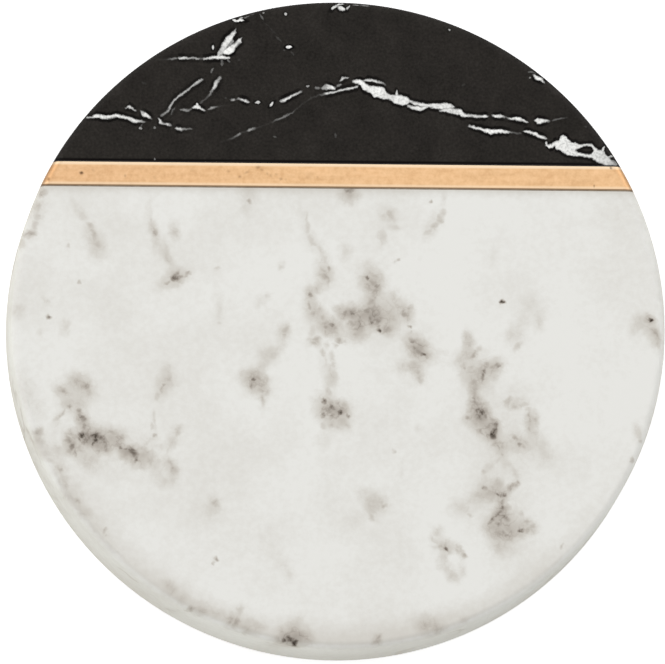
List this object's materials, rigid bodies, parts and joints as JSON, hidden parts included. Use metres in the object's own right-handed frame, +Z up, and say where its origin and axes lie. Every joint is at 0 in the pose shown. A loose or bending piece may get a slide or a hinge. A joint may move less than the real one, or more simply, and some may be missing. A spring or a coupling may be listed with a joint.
{
  "type": "drink coaster",
  "caption": "Round drink coaster of black and white marble divided by an inlaid brass strip, with a rounded top edge and stick-on bumper feet.",
  "frame": {"origin": "on the table, under the middle of the coaster", "axes": "+Z up, out of the top face; +X along the brass strip; +Y from the middle of the coaster towards the black stone"},
  "size_m": [0.1016, 0.1016, 0.0147],
  "materials": {
    "white_marble": "satin",
    "black_marble": "satin",
    "brass": "satin",
    "white_side_glue": "satin",
    "black_side_glue": "satin",
    "foot_silicone": "satin",
    "foot_tape": "matte"
  },
  "bodies": {
    "root": {"white_marble": "white_marble", "black_marble": "black_marble", "brass_strip": "brass", "white_glue_line": "white_side_glue", "black_glue_line": "black_side_glue", "foot_back_right": "foot_silicone", "foot_back_left": "foot_silicone", "foot_front_left": "foot_silicone", "foot_front_right": "foot_silicone", "foot_tape_back_right": "foot_tape", "foot_tape_back_left": "foot_tape", "foot_tape_front_left": "foot_tape", "foot_tape_front_right": "foot_tape"}
  },
  "joints": []
}
